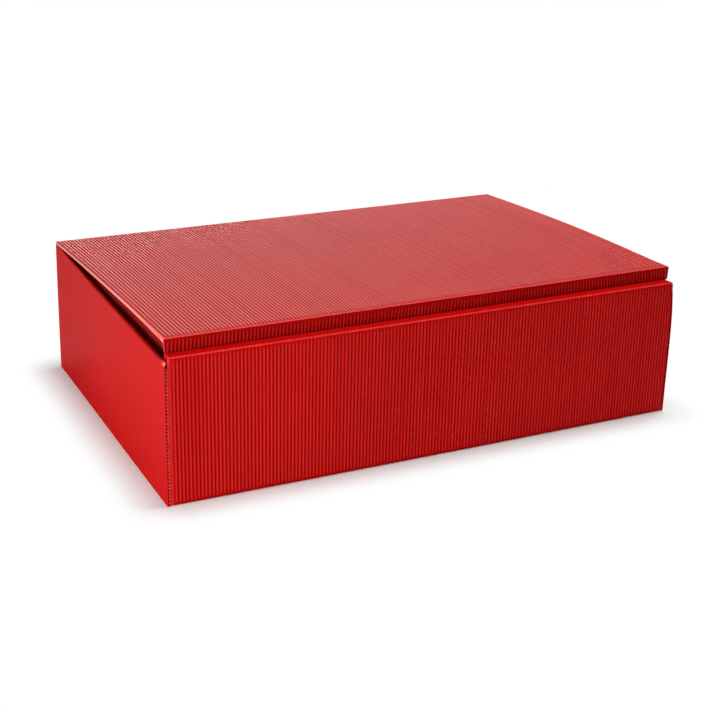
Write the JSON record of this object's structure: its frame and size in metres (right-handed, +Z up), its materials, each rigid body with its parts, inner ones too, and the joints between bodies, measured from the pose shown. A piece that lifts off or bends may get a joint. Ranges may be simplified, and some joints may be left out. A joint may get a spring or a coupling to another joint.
{
  "type": "bottle shipping box",
  "caption": "Flat rectangular bottle carton of open-flute micro board with a hollow front wall, rolled side walls and a hinged tuck-in lid.",
  "frame": {"origin": "centre of the box's outline on the plane that it stands on", "axes": "+X along the front to the right, +Y from the front to the hinged back, +Z up"},
  "size_m": [0.372, 0.251, 0.1069],
  "materials": {
    "body_board": "satin dyed red open-flute board",
    "lid_board": "satin dyed red open-flute board"
  },
  "bodies": {
    "body": {"box_body": "body_board"},
    "lid": {"hinged_lid": "lid_board"}
  },
  "joints": [
    {"name": "lid_hinge", "type": "hinge", "parent": "body", "child": "lid", "pos_m": [0, 0.1246, 0.0983], "axis": [-1, 0, 0], "range_deg": [0, 180]}
  ]
}
